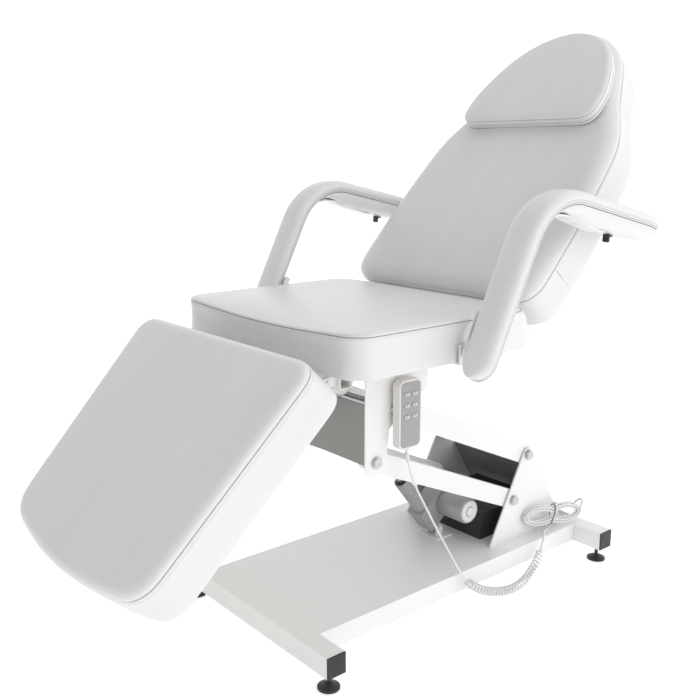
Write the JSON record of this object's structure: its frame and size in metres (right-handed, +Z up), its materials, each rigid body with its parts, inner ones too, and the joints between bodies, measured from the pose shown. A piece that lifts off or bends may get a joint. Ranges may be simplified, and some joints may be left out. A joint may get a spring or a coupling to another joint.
{
  "type": "podiatry chair",
  "caption": "Electric podiatry chair with white padded seat, backrest, head pillow, leg rest and armrests on a parallelogram lift, with handset and curly cord.",
  "frame": {"origin": "floor level under the middle of the chair's bounding box, cords left out", "axes": "+Z up, -Y towards the foot end, +Y towards the head end, +X the right side seen from the foot end"},
  "size_m": [0.896, 1.7405, 1.4592],
  "materials": {
    "white_steel": "satin white powder coat",
    "chrome": "bright plated fasteners and rods",
    "black_plastic": "matt black",
    "white_vinyl": "soft white upholstery vinyl",
    "plywood": "bare plywood",
    "gray_plastic": "satin gray",
    "light_plastic": "satin light gray",
    "cord_white": "soft light gray"
  },
  "bodies": {
    "base": {"front_crossbar": "white_steel", "rear_crossbar": "white_steel", "base_pan": "white_steel", "bar_caps": "black_plastic", "rear_bracket": "white_steel", "bracket_shafts": "chrome", "lift_clevis": "white_steel", "control_box": "black_plastic", "handset_lead": "cord_white", "curly_cord": "cord_white", "handset_tail": "cord_white", "mains_lead": "cord_white", "mains_hank": "cord_white", "mains_plug": "cord_white"},
    "lower_link": {"lower_arm": "white_steel", "lower_arm_pins": "chrome"},
    "upper_link": {"upper_arm": "white_steel"},
    "seat_unit": {"tower": "white_steel", "tower_shaft": "chrome", "seat_frame": "white_steel", "seat_pins": "chrome", "seat_board": "plywood", "seat_cushion": "white_vinyl", "armrest_crossbar": "white_steel", "armrest_bolts": "chrome", "handset_hook": "chrome"},
    "lift_tube": {"lift_motor": "light_plastic", "lift_housing": "gray_plastic"},
    "lift_ram": {"lift_rod": "chrome"},
    "back_tube": {"back_motor": "light_plastic", "back_housing": "gray_plastic"},
    "back_ram": {"back_rod": "chrome"},
    "leg_tube": {"leg_motor": "light_plastic", "leg_housing": "gray_plastic"},
    "leg_ram": {"leg_rod": "chrome"},
    "backrest": {"backrest_frame": "white_steel", "backrest_board": "plywood", "backrest_cushion": "white_vinyl", "head_pillow": "white_vinyl", "backrest_pin": "chrome"},
    "legrest": {"legrest_frame": "white_steel", "legrest_board": "plywood", "legrest_cushion": "white_vinyl", "legrest_pin": "chrome"},
    "armrest_left": {"armrest_pad_left": "white_vinyl", "armrest_core_left": "white_steel"},
    "armrest_right": {"armrest_pad_right": "white_vinyl", "armrest_core_right": "white_steel"},
    "handset": {"handset_shell": "light_plastic", "handset_panel": "gray_plastic"},
    "foot_front_left": {"foot_front_left": "black_plastic"},
    "foot_front_right": {"foot_front_right": "black_plastic"},
    "foot_rear_left": {"foot_rear_left": "black_plastic"},
    "foot_rear_right": {"foot_rear_right": "black_plastic"},
    "button_back_up": {"button_back_up": "light_plastic"},
    "button_back_down": {"button_back_down": "light_plastic"},
    "button_leg_up": {"button_leg_up": "light_plastic"},
    "button_leg_down": {"button_leg_down": "light_plastic"},
    "button_lift_up": {"button_lift_up": "light_plastic"},
    "button_lift_down": {"button_lift_down": "light_plastic"}
  },
  "joints": [
    {"name": "foot_front_left_thread", "type": "slide", "parent": "base", "child": "foot_front_left", "axis": [0, 0, -1], "range_m": [0, 0.012]},
    {"name": "foot_front_right_thread", "type": "slide", "parent": "base", "child": "foot_front_right", "axis": [0, 0, -1], "range_m": [0, 0.012]},
    {"name": "foot_rear_left_thread", "type": "slide", "parent": "base", "child": "foot_rear_left", "axis": [0, 0, -1], "range_m": [0, 0.012]},
    {"name": "foot_rear_right_thread", "type": "slide", "parent": "base", "child": "foot_rear_right", "axis": [0, 0, -1], "range_m": [0, 0.012]},
    {"name": "lift", "type": "hinge", "parent": "base", "child": "lower_link", "pos_m": [0, 0.335, 0.204], "axis": [-1, 0, 0], "range_deg": [-17, 13], "deforming": ["handset_lead"]},
    {"name": "upper_link_swing", "type": "hinge", "parent": "base", "child": "upper_link", "pos_m": [0, 0.391, 0.322], "axis": [-1, 0, 0], "range_deg": [-17.5, 13.5]},
    {"name": "seat_level", "type": "hinge", "parent": "lower_link", "child": "seat_unit", "pos_m": [0, -0.16745, 0.42771], "axis": [-1, 0, 0], "range_deg": [-13.5, 17.5]},
    {"name": "lift_tube_swing", "type": "hinge", "parent": "base", "child": "lift_tube", "pos_m": [0, 0.198, 0.114], "axis": [-1, 0, 0], "range_deg": [-18.59, 14.31]},
    {"name": "lift_rod_swing", "type": "hinge", "parent": "lower_link", "child": "lift_ram", "pos_m": [0, 0.0116, 0.34798], "axis": [-1, 0, 0], "range_deg": [-1.59, 1.31]},
    {"name": "backrest_tilt", "type": "hinge", "parent": "seat_unit", "child": "backrest", "pos_m": [0, 0.196, 0.712], "axis": [1, 0, 0], "range_deg": [-47, 8]},
    {"name": "back_tube_swing", "type": "hinge", "parent": "seat_unit", "child": "back_tube", "pos_m": [0, -0.041, 0.575], "axis": [1, 0, 0], "range_deg": [-4.16, 1.04]},
    {"name": "back_rod_swing", "type": "hinge", "parent": "backrest", "child": "back_ram", "pos_m": [0, 0.26318, 0.64482], "axis": [1, 0, 0], "range_deg": [-7.76, 43.64]},
    {"name": "legrest_tilt", "type": "hinge", "parent": "seat_unit", "child": "legrest", "pos_m": [0, -0.376, 0.668], "axis": [1, 0, 0], "range_deg": [-46, 14]},
    {"name": "leg_tube_swing", "type": "hinge", "parent": "seat_unit", "child": "leg_tube", "pos_m": [0, -0.176, 0.594], "axis": [1, 0, 0], "range_deg": [-18.34, 5.86]},
    {"name": "leg_rod_swing", "type": "hinge", "parent": "legrest", "child": "leg_ram", "pos_m": [0, -0.47301, 0.55315], "axis": [1, 0, 0], "range_deg": [-8.94, 28.46]},
    {"name": "armrest_tilt_left", "type": "hinge", "parent": "seat_unit", "child": "armrest_left", "pos_m": [-0.349, -0.073, 0.711], "axis": [-1, 0, 0], "range_deg": [0, 50]},
    {"name": "armrest_tilt_right", "type": "hinge", "parent": "seat_unit", "child": "armrest_right", "pos_m": [0.349, -0.073, 0.711], "axis": [-1, 0, 0], "range_deg": [0, 50]},
    {"name": "handset_lift_off", "type": "slide", "parent": "seat_unit", "child": "handset", "axis": [0, 0, 1], "range_m": [0, 0.02]},
    {"name": "button_back_up_press", "type": "slide", "parent": "handset", "child": "button_back_up", "axis": [-1, 0, 0], "range_m": [0, 0.001], "stiffness_N_per_m": 500, "springref_m": -0.002},
    {"name": "button_back_down_press", "type": "slide", "parent": "handset", "child": "button_back_down", "axis": [-1, 0, 0], "range_m": [0, 0.001], "stiffness_N_per_m": 500, "springref_m": -0.002},
    {"name": "button_leg_up_press", "type": "slide", "parent": "handset", "child": "button_leg_up", "axis": [-1, 0, 0], "range_m": [0, 0.001], "stiffness_N_per_m": 500, "springref_m": -0.002},
    {"name": "button_leg_down_press", "type": "slide", "parent": "handset", "child": "button_leg_down", "axis": [-1, 0, 0], "range_m": [0, 0.001], "stiffness_N_per_m": 500, "springref_m": -0.002},
    {"name": "button_lift_up_press", "type": "slide", "parent": "handset", "child": "button_lift_up", "axis": [-1, 0, 0], "range_m": [0, 0.001], "stiffness_N_per_m": 500, "springref_m": -0.002},
    {"name": "button_lift_down_press", "type": "slide", "parent": "handset", "child": "button_lift_down", "axis": [-1, 0, 0], "range_m": [0, 0.001], "stiffness_N_per_m": 500, "springref_m": -0.002}
  ],
  "couplings": [
    {"joint": "upper_link_swing", "follows": "lift", "ratio": 1},
    {"joint": "seat_level", "follows": "lift", "ratio": -1},
    {"joint": "lift_tube_swing", "follows": "lift", "ratio": 1.07},
    {"joint": "lift_rod_swing", "follows": "lift", "ratio": 0.07},
    {"joint": "back_tube_swing", "follows": "backrest_tilt", "ratio": 0.08},
    {"joint": "back_rod_swing", "follows": "backrest_tilt", "ratio": -0.92},
    {"joint": "leg_tube_swing", "follows": "legrest_tilt", "ratio": 0.39},
    {"joint": "leg_rod_swing", "follows": "legrest_tilt", "ratio": -0.61}
  ]
}
